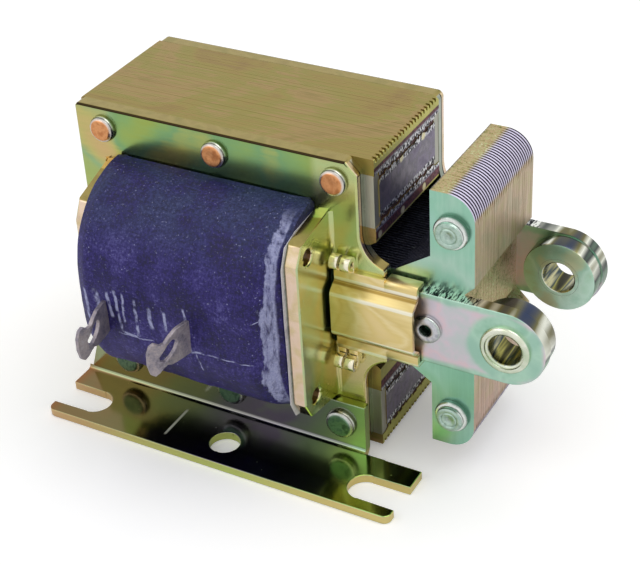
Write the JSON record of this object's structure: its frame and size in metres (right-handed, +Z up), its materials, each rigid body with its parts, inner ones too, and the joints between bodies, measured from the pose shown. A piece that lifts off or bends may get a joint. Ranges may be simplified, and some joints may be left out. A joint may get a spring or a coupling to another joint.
{
  "type": "pull solenoid",
  "caption": "Box-frame pull solenoid: a laminated T plunger slides in a taped coil, with clevis links and slotted feet.",
  "frame": {"origin": "on the plane the feet stand on, midway between the two round holes of the feet", "axes": "+X the way the plunger is pulled out, -Y towards the solder lugs, +Z up from the feet"},
  "size_m": [0.1046, 0.0831, 0.0671],
  "materials": {
    "field_steel": "edges of stacked sheet with an olive film",
    "zinc_plate": "yellow zinc plate, iridescent",
    "zinc_plate_foot": "glossy yellow zinc plate",
    "copper": "plain copper",
    "rivet_zinc": "zinc plated, copper tint on the faces",
    "bobbin_board": "moulded insulation",
    "magnet_wire": "enamelled wire",
    "coil_wrap": "varnished indigo tape",
    "tinned_metal": "dull tinned",
    "guide_brass": "bright rolled",
    "plunger_steel": "edges of stacked sheet",
    "plunger_zinc": "zinc plate, iridescent",
    "link_steel": "zinc plate, polished"
  },
  "bodies": {
    "frame": {"field_lamination_stack": "field_steel", "upper_shading_coil": "copper", "lower_shading_coil": "copper", "front_side_plate": "zinc_plate", "rear_side_plate": "zinc_plate", "front_mounting_bracket": "zinc_plate_foot", "rear_mounting_bracket": "zinc_plate_foot", "upper_frame_rivets": "rivet_zinc", "lower_frame_rivets": "rivet_zinc", "coil_bobbin": "bobbin_board", "coil_winding": "magnet_wire", "coil_tape": "coil_wrap", "left_solder_lug": "tinned_metal", "right_solder_lug": "tinned_metal", "left_lead_wire": "magnet_wire", "right_lead_wire": "magnet_wire", "front_plunger_guide": "guide_brass", "rear_plunger_guide": "guide_brass"},
    "plunger": {"plunger_lamination_stack": "plunger_steel", "front_plunger_plate": "plunger_zinc", "rear_plunger_plate": "plunger_zinc", "plunger_rivets": "rivet_zinc", "strap_rivets": "rivet_zinc", "front_link_strap": "link_steel", "rear_link_strap": "link_steel", "front_link_washer": "link_steel", "rear_link_washer": "link_steel", "front_link_bushing": "link_steel", "rear_link_bushing": "link_steel"}
  },
  "joints": [
    {"name": "plunger_slide", "type": "slide", "parent": "frame", "child": "plunger", "axis": [1, 0, 0], "range_m": [-0.0109, 0.0144]}
  ]
}
